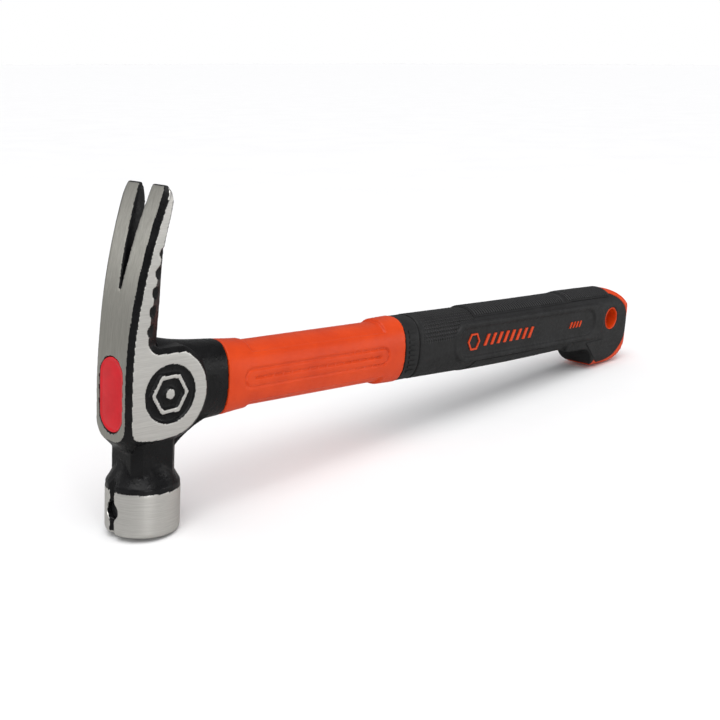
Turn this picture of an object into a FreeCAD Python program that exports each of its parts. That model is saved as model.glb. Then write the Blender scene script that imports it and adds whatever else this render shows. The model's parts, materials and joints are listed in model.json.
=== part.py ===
import FreeCAD, Part
import math
import os
from FreeCAD import Placement, Rotation, Vector

# A 20 oz class rip-claw hammer with a moulded glass-fibre handle, in millimetres.
#
# Every piece is drawn in the tool's own axes: X runs along the handle from the head to the
# butt, Y across it, Z along the head from the striking face to the claws. The origin of these
# axes is where the bell's axis crosses the handle's axis. At the end the whole tool is tipped
# about Y into the stance it rests in, on the rim of its striking face and on its butt hook,
# with the origin at the bottom centre of its box.

SIZES = [
    # bell, neck and striking face
    ("bell_radius", 14.5, "striking face end, largest radius"),
    ("face_radius", 13.94, "flat of the striking face"),
    ("face_level", -55.92, "Z of the striking face"),
    ("face_chamfer", 1.3, "height of the chamfer round the face"),
    ("bell_top", -38.4, "Z of the upper end of the turned bell"),
    ("shoulder_radius", 14.3, "unturned shoulder above the bell"),
    ("shoulder_level", -36.4, "Z where the shoulder turns in to the neck"),
    ("neck_start", -28.5, "Z where the shoulder has blended into the neck"),
    ("neck_half", 10.0, "neck axis to its flats"),
    ("neck_corner", 11.7, "neck axis to its corner flats"),
    ("groove_radius", 1.75, "nail starter groove"),
    ("magnet_hole_radius", 3.6, "hole for the starter magnet"),
    ("magnet_level", -46.5, "Z of the starter magnet"),
    ("magnet_radius", 3.4, "starter magnet"),
    ("magnet_thickness", 2.5, "starter magnet"),
    ("magnet_floor", -9.4, "X of the bottom of the magnet's hole"),
    # cheeks, outer plate and claws
    ("outer_face", -15.05, "X of the ground outer face at the eye"),
    ("outer_arc", 217.0, "radius of the outer face along the claws"),
    ("outer_half", 9.4, "half width of the outer face at the eye"),
    ("edge_bevel", 2.0, "bevel between outer face and cheek"),
    ("plate_end", -18.35, "Z of the lower end of the outer face"),
    ("plate_corner", 6.8, "rounding of the lower corners of the outer face"),
    ("cheek_x", 3.96, "X of the centre of the round cheek"),
    ("cheek_z", -0.45, "Z of the centre of the round cheek"),
    ("cheek_radius", 17.1, "ground cheek"),
    ("claw_root", 20.0, "Z where the claws leave the body"),
    ("claw_tip", 77.6, "Z of the claw tips"),
    ("claw_flare", 0.0455, "growth of the half width per mm above the root"),
    ("bevel_growth", 0.0133, "growth of the claws' bevel sideways per mm above the root"),
    ("bevel_thinning", 0.0076, "loss of the bevel's depth per mm above the root"),
    ("chisel_height", 5.0, "length of the thinned claw tips"),
    ("slot_root", 37.2, "Z of the root of the nail slot"),
    ("slot_half", 3.9, "half gap of the nail slot at the tips"),
    ("scallop_radius", 2.3, "scallops along the inner edge of the claws"),
    ("scallop_start", 24.4, "Z of the lowest scallop"),
    ("scallop_pitch", 7.2, "scallop spacing"),
    ("badge_radius", 11.24, "round sunk badge in the cheek"),
    ("badge_depth", 1.0, "depth of the badge"),
    ("badge_ring_outside", 8.9, "centre to the outer corners of the raised ring"),
    ("badge_ring_inside", 6.4, "centre to the inner corners of the raised ring"),
    ("badge_stud_radius", 2.4, "stud in the middle of the badge"),
    # eye
    ("boss_end", 33.32, "X of the end of the eye boss"),
    ("boss_width", 19.9, "eye boss at its end"),
    ("boss_height", 31.5, "eye boss at its end"),
    ("eye_half_width", 7.32, "outer end of the eye"),
    ("eye_half_height", 14.5, "outer end of the eye"),
    ("eye_z", -0.6, "Z of the centre of the eye"),
    ("eye_neck_half_width", 6.0, "handle end of the eye"),
    ("eye_neck_half_height", 11.4, "handle end of the eye"),
    ("plug_inner", -11.0, "X of the inner side of the eye plug"),
    ("plug_recess", 0.5, "plug below the outer face"),
    # handle
    ("core_half_width", 5.2, "glass-fibre core"),
    ("core_half_height", 10.6, "glass-fibre core"),
    ("core_end", 306.0, "X of the butt end of the core"),
    ("jacket_end", 138.9, "X where the orange jacket goes under the grip"),
    ("jacket_width", 22.2, "jacket at its grip end"),
    ("jacket_height", 31.8, "jacket at its grip end"),
    ("under_grip_width", 17.6, "jacket below the grip"),
    ("under_grip_height", 25.6, "jacket below the grip"),
    ("section_power", 2.45, "squareness of the handle's oval"),
    ("recess_start", 46.0, "X of the top and bottom recess of the jacket"),
    ("recess_end", 126.5, "X of the far end of that recess"),
    ("recess_edge", 10.4, "Z of the side edge of that recess"),
    ("oval_start", 41.0, "X of the oval groove in the side"),
    ("oval_end", 128.0, "X of the far end of the oval groove"),
    ("oval_half", 4.3, "half height of the oval groove"),
    ("oval_groove", 1.1, "width of the oval groove"),
    ("oval_depth", 0.9, "depth of the oval groove"),
    # grip
    ("band_end", 148.0, "X of the end of the front band"),
    ("band_width", 23.1, "front band"),
    ("band_height", 31.1, "front band"),
    ("band_groove", 1.1, "groove between band and grip"),
    ("grip_width", 24.0, "grip in the middle"),
    ("grip_height", 32.6, "grip in the middle"),
    ("grip_blend", 306.0, "X where the grip's oval ends inside the butt"),
    ("panel_start", 175.0, "X of the raised side panel"),
    ("panel_end", 316.0, "X of the far end of the side panel"),
    ("panel_half", 10.3, "half height of the side panel"),
    ("panel_face", 12.4, "half width over the side panels"),
    ("panel_border", 3.4, "width of the border of the side panel"),
    ("panel_depth", 0.9, "depth inside the border"),
    ("mark_thickness", 0.5, "orange marks in the side panel"),
    # butt
    ("butt_half", 11.6, "half width of the butt"),
    ("butt_end", 348.3, "X of the end of the butt"),
    ("butt_top", 16.9, "Z of the top of the butt"),
    ("hook_bottom", -28.7, "Z of the bottom of the hook"),
    ("butt_edge_radius", 7.5, "rounding of the butt"),
    ("rim_thickness", 2.6, "orange rim round the butt"),
    ("rim_start", 325.5, "X where the orange rim starts on top"),
    ("rim_low_start", 311.0, "X where the orange rim starts under the hook"),
    ("hang_x", 325.0, "X of the hang hole"),
    ("hang_z", 0.0, "Z of the hang hole"),
    ("hang_bore_radius", 5.9, "hang hole"),
    ("hang_lining_radius", 6.65, "outside of the lining of the hang hole"),
    # stance
    ("stance_angle", 5.03, "handle's slope in the resting stance, degrees"),
]

OVAL_POINTS = 32  # points that shape one oval across the handle
WIDE = 20.0  # more than half the width of anything on the tool

doc = FreeCAD.newDocument("claw_hammer")
sheet = doc.addObject("Spreadsheet::Sheet", "sizes")
for row, (alias, value, meaning) in enumerate(SIZES, start=1):
    sheet.set(f"A{row}", meaning)
    sheet.set(f"B{row}", str(value))
    sheet.setAlias(f"B{row}", alias)
doc.recompute()


def size(alias):
    return float(sheet.get(alias))


# ---------------------------------------------------------------- small makers

def bound(kind, name, **expressions):
    """A parametric primitive whose sizes follow cells of the sheet."""
    item = doc.addObject(kind, name)
    for prop, expression in expressions.items():
        item.setExpression(prop.replace("_", "."), expression)
    return item


def feature(name, shape):
    item = doc.addObject("Part::Feature", name)
    item.Shape = shape
    return item


def cylinder(name, radius, height, base, axis):
    item = bound("Part::Cylinder", name, Radius=radius, Height=height)
    item.Placement = Placement(Vector(*base), Rotation(Vector(0, 0, 1), Vector(*axis)))
    return item


def box(name, low, high):
    item = doc.addObject("Part::Box", name)
    item.Length, item.Width, item.Height = (b - a for a, b in zip(low, high))
    item.Placement = Placement(Vector(*low), Rotation())
    return item


def cut(name, base, tool):
    item = doc.addObject("Part::Cut", name)
    item.Base = base
    item.Tool = tool
    return item


def fuse(name, shapes):
    item = doc.addObject("Part::MultiFuse", name)
    item.Shapes = shapes
    return item


def common(name, shapes):
    item = doc.addObject("Part::MultiCommon", name)
    item.Shapes = shapes
    return item


def loft(name, wires, ruled=False):
    """A Part::Loft through closed wires, each of them a section feature of its own."""
    sections = [feature(f"{name}_section", wire) for wire in wires]
    item = doc.addObject("Part::Loft", name)
    item.Sections = sections
    item.Solid = True
    item.Ruled = ruled
    return item


def prism(name, outline, direction, length):
    """The closed flat outline pushed along direction; length is an expression or a number."""
    source = feature(f"{name}_outline", outline)
    item = doc.addObject("Part::Extrusion", name)
    item.Base = source
    item.DirMode = "Custom"
    item.Dir = Vector(*direction)
    item.setExpression("LengthFwd", str(length))
    item.Solid = True
    return item


def compound(name, items):
    item = doc.addObject("Part::Compound", name)
    item.Links = items
    return item


def mirrored_pair(name, item):
    """The item and its mirror image across the tool's plane of symmetry."""
    other = doc.addObject("Part::Mirroring", f"{name}_mirror")
    other.Source = item
    other.Normal = Vector(0, 1, 0)
    return compound(name, [item, other])


def polygon(points):
    return Part.makePolygon([Vector(*p) for p in points] + [Vector(*points[0])])


def oval(x, width, height, z_mid=0.0, power=None):
    """A superellipse across the handle at x."""
    power = power or size("section_power")
    points = []
    for step in range(OVAL_POINTS):
        angle = 2 * math.pi * step / OVAL_POINTS
        side, up = math.cos(angle), math.sin(angle)
        y = width / 2 * math.copysign(abs(side) ** (2 / power), side)
        z = height / 2 * math.copysign(abs(up) ** (2 / power), up)
        points.append(Vector(x, y, z_mid + z))
    curve = Part.BSplineCurve()
    curve.interpolate(points, PeriodicFlag=True)
    return Part.Wire([curve.toShape()])


def slot_in_x(x, half_width, half_height, z_mid):
    """A round-ended slot outline across the handle at x, long side along Z."""
    straight = half_height - half_width
    top, low = z_mid + straight, z_mid - straight
    return Part.Wire([
        Part.makeLine(Vector(x, half_width, low), Vector(x, half_width, top)),
        Part.Arc(Vector(x, half_width, top), Vector(x, 0, top + half_width),
                 Vector(x, -half_width, top)).toShape(),
        Part.makeLine(Vector(x, -half_width, top), Vector(x, -half_width, low)),
        Part.Arc(Vector(x, -half_width, low), Vector(x, 0, low - half_width),
                 Vector(x, half_width, low)).toShape(),
    ])


def slot_in_y(y, x_start, x_end, half_height, z_mid=0.0):
    """A round-ended slot outline in the plane y, long side along X."""
    left, right = x_start + half_height, x_end - half_height
    top, low = z_mid + half_height, z_mid - half_height
    return Part.Wire([
        Part.makeLine(Vector(left, y, low), Vector(right, y, low)),
        Part.Arc(Vector(right, y, low), Vector(x_end, y, z_mid),
                 Vector(right, y, top)).toShape(),
        Part.makeLine(Vector(right, y, top), Vector(left, y, top)),
        Part.Arc(Vector(left, y, top), Vector(x_start, y, z_mid),
                 Vector(left, y, low)).toShape(),
    ])


# ---------------------------------------------------------------- hammer head

def outer_x(z):
    """X of the outer face: flat at the eye, then an arc along the claws."""
    arc = size("outer_arc")
    rise = arc - math.sqrt(arc ** 2 - max(z, 0.0) ** 2)
    return size("outer_face") + rise


def outer_half_width(z):
    return size("outer_half") + size("claw_flare") * max(z - size("claw_root"), 0.0)


def claw_bevel(z):
    """How far the bevel at height z goes sideways, and how far it goes back."""
    above = max(z - size("claw_root"), 0.0)
    return (size("edge_bevel") + size("bevel_growth") * above,
            size("edge_bevel") - size("bevel_thinning") * above)


def claw_section(z, ground_edge, inner_x, inner_half):
    """The claw pair's outline at height z: outer face, bevels, ground cheeks, inner bevels."""
    wide, deep = claw_bevel(z)
    x = outer_x(z)
    half = outer_half_width(z)
    side = [
        (x, half, z),
        (x + deep, half + wide, z),
        (ground_edge, half + wide, z),
        (inner_x, inner_half, z),
    ]
    other = [(px, -py, pz) for px, py, pz in reversed(side)]
    return polygon(side + other)


def tip_section(z, half, wide, deep, thickness):
    """The claw pair's outline in the chisel, where it thins towards the tips."""
    x = outer_x(z)
    inner_bevel = 0.3
    side = [
        (x, half, z),
        (x + deep, half + wide, z),
        (x + thickness - inner_bevel, half + wide, z),
        (x + thickness, half + wide - inner_bevel, z),
    ]
    other = [(px, -py, pz) for px, py, pz in reversed(side)]
    return polygon(side + other)


def make_claws():
    tip = size("claw_tip")
    chisel = tip - size("chisel_height")
    # height, inner edge of the ground cheek, inner face, half width of the inner face
    stations = [
        (12.0, -6.4, 0.4, 7.2),
        (24.0, -6.4, -0.2, 8.0),
        (36.0, -5.1, -0.1, 9.1),
        (47.0, -3.4, -0.9, 11.0),
        (56.0, -1.8, -1.2, 12.9),
        (65.0, 0.1, 0.4, 13.6),
        (chisel, 1.2, 1.6, 14.0),
    ]
    long_part = loft("claw_length", [claw_section(*station) for station in stations])
    point = loft("claw_chisel", [
        claw_section(*stations[-1]),
        tip_section(tip - 2.2, 11.8, 2.1, 1.5, 2.6),
        tip_section(tip, 11.1, 0.9, 0.6, 1.2),
    ], ruled=True)
    return [long_part, point]


def body_outline(y, grow):
    """The cheek's outline at width y, grown outwards by grow for the bevel round it."""
    cx, cz = size("cheek_x"), size("cheek_z")
    radius = size("cheek_radius") + grow
    back = size("edge_bevel") - grow
    left = size("outer_face") + back
    root = size("claw_root")
    arc_middle = Vector(outer_x(root / 2) + back, y, root / 2)
    arc_end = Vector(outer_x(root) + back, y, root)
    low_point = Vector(cx, y, cz - radius)
    heel_start = Vector(left, y, -13.2)
    heel_middle = Vector(left + 0.9, y, -15.4 - 0.7 * grow)
    heel_end = Vector(left + 3.3, y, -16.8 - grow)
    sole = Vector(-3.8, y, -17.75 - grow)
    corner = math.radians(68)
    high_point = Vector(cx + radius * math.cos(corner), y, cz + radius * math.sin(corner))
    shoulder = Vector(-2.0 + grow, y, high_point.z)
    inner = Vector(-6.4 + grow, y, root)
    bend = Vector(-4.9 + grow, y, high_point.z + 1.5)
    return Part.Wire([
        Part.Arc(arc_end, arc_middle, Vector(left, y, 0)).toShape(),
        Part.makeLine(Vector(left, y, 0), heel_start),
        Part.Arc(heel_start, heel_middle, heel_end).toShape(),
        Part.Arc(heel_end, sole, low_point).toShape(),
        Part.Arc(low_point, Vector(cx + radius, y, cz), high_point).toShape(),
        Part.makeLine(high_point, shoulder),
        Part.Arc(shoulder, bend, inner).toShape(),
        Part.makeLine(inner, arc_end),
    ])


def make_body():
    inner, bevel = size("outer_half"), size("edge_bevel")
    middle = prism("body_middle", body_outline(-inner, bevel), (0, 1, 0), "2 * sizes.outer_half")
    side = loft("body_side", [body_outline(inner, bevel), body_outline(inner + bevel, 0.0)],
                ruled=True)
    sides = mirrored_pair("body_sides", side)
    lip = box("plate_lip", (size("outer_face"), -inner, -24.2), (-size("neck_half"), inner, -15.0))
    whole = fuse("body_whole", [middle, sides, lip])
    # the outer face ends in two round corners, and its bevel goes round them
    ahead, depth = 1.0, 6.2
    kept = loft("plate_taper", [plate_outline(size("outer_face") - ahead, -ahead),
                                plate_outline(size("outer_face") - ahead + depth, depth - ahead)],
                ruled=True)
    block = box("plate_corner_block", (size("outer_face") - ahead, -WIDE, -30.0),
                (size("outer_face") - ahead + depth, WIDE, 0.0))
    return cut("body", whole, cut("plate_trim", block, kept))


def plate_outline(x, grow):
    """The lower end of the outer face in the plane x, grown outwards by grow."""
    half = size("outer_half") + grow
    bend = size("plate_corner") + grow
    low = size("plate_end") - grow
    lean = bend * (1 - math.sqrt(0.5))
    top = 10.0
    return Part.Wire([
        Part.makeLine(Vector(x, half, top), Vector(x, half, low + bend)),
        Part.Arc(Vector(x, half, low + bend), Vector(x, half - lean, low + lean),
                 Vector(x, half - bend, low)).toShape(),
        Part.makeLine(Vector(x, half - bend, low), Vector(x, -half + bend, low)),
        Part.Arc(Vector(x, -half + bend, low), Vector(x, -half + lean, low + lean),
                 Vector(x, -half, low + bend)).toShape(),
        Part.makeLine(Vector(x, -half, low + bend), Vector(x, -half, top)),
        Part.makeLine(Vector(x, -half, top), Vector(x, half, top)),
    ])


def make_boss():
    # station along the handle, width, top, bottom
    stations = [
        (size("boss_end"), size("boss_width"), size("boss_height") / 2, -size("boss_height") / 2),
        (22.0, 20.6, 16.6, -16.4),
        (11.0, 21.2, 18.0, -17.2),
        (1.0, 21.6, 20.6, -17.6),
    ]
    wires = [oval(x, w, top - low, (top + low) / 2) for x, w, top, low in stations]
    return loft("eye_boss", wires)


def make_neck():
    flat, corner = size("neck_half"), size("neck_corner")
    short = corner * math.sqrt(2) - flat
    low = size("shoulder_level")
    ring = [(flat, -short), (flat, short), (short, flat), (-short, flat),
            (-flat, short), (-flat, -short), (-short, -flat), (short, -flat)]
    neck = prism("neck", polygon([(x, y, low) for x, y in ring]), (0, 0, 1), -12.0 - low)
    # the gusset between neck and eye boss
    gusset_half = 7.6
    root = Vector(8.0, -gusset_half, -22.8)
    near = Vector(9.3, -gusset_half, -22.6)
    middle = Vector(14.9, -gusset_half, -18.3)
    far = Vector(25.5, -gusset_half, -13.6)
    top = Vector(8.0, -gusset_half, -12.0)
    outline = Part.Wire([
        Part.makeLine(root, near),
        Part.Arc(near, middle, far).toShape(),
        Part.makeLine(far, top),
        Part.makeLine(top, root),
    ])
    gusset = prism("gusset", outline, (0, 1, 0), 2 * gusset_half)
    return [neck, gusset]


def make_bell():
    radius, face, level = size("bell_radius"), size("face_radius"), size("face_level")
    top, start = size("bell_top"), size("neck_start")
    rough, turn_in = size("shoulder_radius"), size("shoulder_level")
    blend = size("neck_half") + 0.4
    axis_low, axis_high = Vector(0, 0, level), Vector(0, 0, start)
    rim, turned = Vector(face, 0, level), Vector(radius, 0, level + size("face_chamfer"))
    turned_end, rough_start = Vector(radius, 0, top), Vector(rough, 0, top + 0.15)
    shoulder, end = Vector(rough, 0, turn_in), Vector(blend, 0, start)
    hollow = Vector(blend + 2.0, 0, turn_in + 3.2)
    profile = Part.Wire([
        Part.makeLine(axis_low, rim),
        Part.makeLine(rim, turned),
        Part.makeLine(turned, turned_end),
        Part.makeLine(turned_end, rough_start),
        Part.makeLine(rough_start, shoulder),
        Part.Arc(shoulder, hollow, end).toShape(),
        Part.makeLine(end, axis_high),
        Part.makeLine(axis_high, axis_low),
    ])
    bell = doc.addObject("Part::Revolution", "bell")
    bell.Source = feature("bell_profile", Part.Face(profile))
    bell.Axis = Vector(0, 0, 1)
    bell.Base = Vector(0, 0, 0)
    bell.Angle = 360
    bell.Solid = True
    return bell


def slot_cutter():
    """The nail slot: a narrow V that opens towards the claw tips."""
    root, tip, half = size("slot_root"), size("claw_tip") + 4.0, size("slot_half")
    x = size("outer_face") - 1.0
    flank = [Vector(x, 0, root), Vector(x, 1.45, root + 12.6), Vector(x, 2.4, root + 24.6),
             Vector(x, 3.5, root + 35.6), Vector(x, half, tip)]
    curve = Part.BSplineCurve()
    curve.interpolate(flank)
    mirror = Part.BSplineCurve()
    mirror.interpolate([Vector(p.x, -p.y, p.z) for p in flank])
    outline = Part.Wire([
        curve.toShape(),
        Part.makeLine(flank[-1], Vector(x, -half, tip)),
        mirror.toShape(),
    ])
    return prism("nail_slot", outline, (1, 0, 0), 25.0)


def eye_outlines():
    """The eye's outline outside the head, at the plug's inner side, and past the boss."""
    reach = 2.0
    ends = [
        (size("outer_face") - reach, size("eye_half_width"), size("eye_half_height")),
        (size("plug_inner"), size("eye_half_width"), size("eye_half_height")),
        (size("boss_end") + reach, size("eye_neck_half_width"), size("eye_neck_half_height")),
    ]
    return [slot_in_x(x, width, height, size("eye_z")) for x, width, height in ends]


def eye_cutter():
    return loft("eye", eye_outlines(), ruled=True)


def badge_parts():
    """The sunk round badge in the cheek and the raised six-sided ring left standing in it."""
    face = size("outer_half") + size("edge_bevel")
    x, z = size("cheek_x"), size("cheek_z")
    floor = face - size("badge_depth")
    overlap = 0.2  # how far ring and stud reach into the metal below
    pocket = cylinder("badge_pocket", "sizes.badge_radius", "sizes.badge_depth + 1",
                      (x, floor, z), (0, 1, 0))

    def six_sided(name, alias):
        corners = [math.radians(60 * k) for k in range(6)]
        low = floor - overlap
        outline = [(x + size(alias) * math.cos(a), low, z + size(alias) * math.sin(a)) for a in corners]
        return prism(name, polygon(outline), (0, 1, 0), f"sizes.badge_depth + {overlap}")

    ring = cut("badge_ring", six_sided("badge_outer", "badge_ring_outside"),
               six_sided("badge_inner", "badge_ring_inside"))
    stud = cylinder("badge_stud", "sizes.badge_stud_radius", f"sizes.badge_depth + {overlap}",
                    (x, floor - overlap, z), (0, 1, 0))
    mark = fuse("badge_mark", [ring, stud])
    return mirrored_pair("badge_pockets", pocket), mirrored_pair("badge_marks", mark)


def scallop_cutter():
    """Five shallow round notches along the inner edge of each ground claw side."""
    notches = []
    for index, depth in enumerate((1.5, 1.5, 1.5, 1.2, 0.6)):
        rise = index * size("scallop_pitch")
        z = size("scallop_start") + rise
        left = -6.8 + 0.032 * rise + 0.0032 * rise ** 2
        floor = outer_half_width(z) + size("edge_bevel") - depth
        notches.append(cylinder(f"scallop_{index + 1}", "sizes.scallop_radius", "6",
                                (left + size("scallop_radius"), floor, z), (0, 1, 0)))
    return mirrored_pair("scallops", compound("scallop_row", notches))


def make_head():
    solid = fuse("head_solid", make_claws() + [make_body(), make_boss(), *make_neck(), make_bell()])
    pockets, marks = badge_parts()
    bell_side = -size("bell_radius")
    groove = cylinder("starter_groove", "sizes.groove_radius", "30",
                      (bell_side, 0, size("face_level") - 2.0), (0, 0, 1))
    magnet_hole = cylinder("magnet_hole", "sizes.magnet_hole_radius", "10",
                           (size("magnet_floor"), 0, size("magnet_level")), (-1, 0, 0))
    bare = cut("head_cut", solid, compound("head_cutters", [slot_cutter(), scallop_cutter(), groove]))
    drilled = cut("head_drilled", bare, magnet_hole)
    sunk = cut("head_sunk", drilled, pockets)
    badged = fuse("head_badged", [sunk, marks])
    return cut("hammer_head", badged, eye_cutter())


# ---------------------------------------------------------------- inside the eye

def make_plug():
    outer = size("outer_face") + size("plug_recess")
    outline = slot_in_x(outer, size("eye_half_width"), size("eye_half_height"), size("eye_z"))
    return prism("eye_plug", outline, (1, 0, 0), "sizes.plug_inner - sizes.outer_face - sizes.plug_recess")


def core_prism(name, start, length):
    outline = slot_in_x(start, size("core_half_width"), size("core_half_height"), size("eye_z"))
    return prism(name, outline, (1, 0, 0), length)


def make_bond():
    """The adhesive: it fills the flared eye round the core, from the plug to the end of the boss."""
    fill = loft("bond_fill", eye_outlines()[1:], ruled=True)
    beyond = box("bond_beyond", (size("boss_end"), -WIDE, -WIDE), (size("boss_end") + 10.0, WIDE, WIDE))
    gap = core_prism("bond_gap", size("plug_inner") - 1.0, "sizes.boss_end - sizes.plug_inner + 10")
    return cut("eye_bond", cut("bond_trimmed", fill, beyond), gap)


# ---------------------------------------------------------------- handle

def jacket_outside():
    # station along the handle, width, height
    stations = [
        (size("boss_end"), 21.0, 31.3),
        (37.5, 21.7, 30.5),
        (43.0, 21.8, 29.6),
        (52.0, 21.6, 29.2),
        (112.0, 21.9, 29.8),
        (124.0, 22.1, 30.8),
        (size("jacket_end"), size("jacket_width"), size("jacket_height")),
    ]
    return loft("jacket_outside", [oval(*station) for station in stations])


def jacket_recess():
    """What is taken off the top and the bottom of the jacket between its two collars."""
    start, end, edge = size("recess_start"), size("recess_end"), size("recess_edge")
    kept = loft("recess_floor", [oval(start - 1.0, 20.6, 27.4), oval(end + 1.0, 20.9, 28.2)])
    upper = box("recess_upper", (start, -WIDE, edge), (end, WIDE, WIDE))
    lower = box("recess_lower", (start, -WIDE, -WIDE), (end, WIDE, -edge))
    return cut("jacket_recess", compound("recess_blocks", [upper, lower]), kept)


def side_grooves():
    """The long oval groove in each side of the jacket, with a straight groove along its middle."""
    start, end, half = size("oval_start"), size("oval_end"), size("oval_half")
    width = size("oval_groove")
    floor = 10.9 - size("oval_depth")
    depth = 4.0
    outer = prism("oval_outer", slot_in_y(floor, start, end, half), (0, 1, 0), depth)
    inner = prism("oval_inner", slot_in_y(floor - 1.0, start + width, end - width, half - width),
                  (0, 1, 0), depth + 2.0)
    ring = cut("oval_ring", outer, inner)
    middle = prism("oval_middle", slot_in_y(floor, start + 5.0, end - 5.0, width / 2),
                   (0, 1, 0), depth)
    return mirrored_pair("side_grooves", compound("oval_grooves", [ring, middle]))


def butt_outline(inset):
    """Side view of the butt and its hook, drawn at y = -WIDE and moved inwards by inset."""
    y = -WIDE
    end, top, low = size("butt_end") - inset, size("butt_top") - inset, size("hook_bottom") + inset
    ahead, underside = 282.0, -16.0
    start = Vector(ahead, y, top)
    crown = Vector(316.0, y, top)
    shoulder = Vector(end - 7.8, y, 10.2 - 0.7 * inset)
    nose = Vector(end, y, -7.0)
    heel = Vector(end - 5.9, y, -18.2 + 0.7 * inset)
    sole = Vector(316.0, y, low)
    front = Vector(309.6 + 0.6 * inset, y, low + 2.4)
    throat = Vector(306.0 + inset, y, -21.0)
    fillet = Vector(303.6 + inset, y, -18.2)
    neck = Vector(299.0, y, underside - 0.2)
    return Part.Wire([
        Part.makeLine(start, crown),
        Part.Arc(crown, shoulder, nose).toShape(),
        Part.Arc(nose, heel, sole).toShape(),
        Part.Arc(sole, front, throat).toShape(),
        Part.Arc(throat, fillet, neck).toShape(),
        Part.makeLine(neck, Vector(ahead, y, underside)),
        Part.makeLine(Vector(ahead, y, underside), start),
    ])


def butt_plan():
    """Plan view of the butt: it swells out of the grip to parallel sides and a round end."""
    half, end, bend = size("butt_half"), size("butt_end") + 0.01, size("butt_edge_radius")
    z = size("hook_bottom") - 5.0
    lean = bend * (1 - math.sqrt(0.5))
    start, waist, swell, full = 280.0, 8.8, (291.0, 10.9), 304.0
    return Part.Wire([
        Part.Arc(Vector(start, -waist, z), Vector(swell[0], -swell[1], z),
                 Vector(full, -half, z)).toShape(),
        Part.makeLine(Vector(full, -half, z), Vector(end - bend, -half, z)),
        Part.Arc(Vector(end - bend, -half, z), Vector(end - lean, -half + lean, z),
                 Vector(end, -half + bend, z)).toShape(),
        Part.makeLine(Vector(end, -half + bend, z), Vector(end, half - bend, z)),
        Part.Arc(Vector(end, half - bend, z), Vector(end - lean, half - lean, z),
                 Vector(end - bend, half, z)).toShape(),
        Part.makeLine(Vector(end - bend, half, z), Vector(full, half, z)),
        Part.Arc(Vector(full, half, z), Vector(swell[0], swell[1], z),
                 Vector(start, waist, z)).toShape(),
        Part.makeLine(Vector(start, waist, z), Vector(start, -waist, z)),
    ])


def butt_front():
    """End view of the butt: flat sides, a round top like the grip's, a softer hook below."""
    half, bend = size("butt_half"), size("butt_edge_radius")
    crown = half - 0.3
    top, low = size("butt_top") + 0.01, size("hook_bottom") - 0.01
    lean = bend * (1 - math.sqrt(0.5))
    drop = crown * (1 - math.sqrt(0.5))
    x = 265.0
    return Part.Wire([
        Part.makeLine(Vector(x, -half + bend, low), Vector(x, half - bend, low)),
        Part.Arc(Vector(x, half - bend, low), Vector(x, half - lean, low + lean),
                 Vector(x, half, low + bend)).toShape(),
        Part.makeLine(Vector(x, half, low + bend), Vector(x, half, top - crown)),
        Part.Arc(Vector(x, half, top - crown), Vector(x, half - drop, top - drop),
                 Vector(x, half - crown, top)).toShape(),
        Part.makeLine(Vector(x, half - crown, top), Vector(x, -half + crown, top)),
        Part.Arc(Vector(x, -half + crown, top), Vector(x, -half + drop, top - drop),
                 Vector(x, -half, top - crown)).toShape(),
        Part.makeLine(Vector(x, -half, top - crown), Vector(x, -half, low + bend)),
        Part.Arc(Vector(x, -half, low + bend), Vector(x, -half + lean, low + lean),
                 Vector(x, -half + bend, low)).toShape(),
    ])


def butt_solid(name):
    side = prism(f"{name}_side", butt_outline(0.0), (0, 1, 0), 2 * WIDE)
    plan = prism(f"{name}_plan", butt_plan(), (0, 0, 1), 60.0)
    front = prism(f"{name}_front", butt_front(), (1, 0, 0), 100.0)
    return common(name, [side, plan, front])


def rim_room(name, ahead):
    """The room ahead of the butt's rim, or behind it: the rim starts lower down further forward."""
    start, low_start, split = size("rim_start"), size("rim_low_start"), -10.0
    front, back, reach = 270.0, 360.0, 40.0
    upper = (front, start) if ahead else (start, back)
    lower = (front, low_start) if ahead else (low_start, back)
    return fuse(name, [
        box(f"{name}_upper", (upper[0], -WIDE, split), (upper[1], WIDE, reach)),
        box(f"{name}_lower", (lower[0], -WIDE, -reach), (lower[1], WIDE, split)),
    ])


def make_jacket():
    sleeve = cut("jacket_sleeve", cut("jacket_relieved", jacket_outside(), jacket_recess()),
                 side_grooves())
    start, end = size("jacket_end"), size("core_end") + 8.0
    width, height = size("under_grip_width"), size("under_grip_height")
    shank = loft("jacket_shank", [oval(start - 1.0, width, height), oval(end, width, height)])
    # the shank runs on into a flat tongue that carries the rim round the butt
    tongue_half = 5.0
    tongue = prism("jacket_tongue", slot_in_y(-tongue_half, 296.0, size("butt_end") - 1.0, 9.0, -5.0),
                   (0, 1, 0), 2 * tongue_half)
    inside = prism("rim_inside", butt_outline(size("rim_thickness")), (0, 1, 0), 2 * WIDE)
    rim = cut("butt_rim", cut("butt_shell", butt_solid("butt_for_rim"), inside),
              rim_room("rim_ahead", True))
    lining = cylinder("hang_lining", "sizes.hang_lining_radius", "2 * sizes.butt_half",
                      (size("hang_x"), -size("butt_half"), size("hang_z")), (0, 1, 0))
    whole = fuse("jacket_whole", [sleeve, shank, tongue, rim, lining])
    bore = cylinder("jacket_bore", "sizes.hang_bore_radius", "2 * sizes.butt_half + 2",
                    (size("hang_x"), -size("butt_half") - 1.0, size("hang_z")), (0, 1, 0))
    bored = cut("jacket_bored", whole, bore)
    room = core_prism("core_room", size("boss_end") - 1.0, "sizes.core_end - sizes.boss_end + 1")
    return cut("handle_jacket", bored, room)


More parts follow.
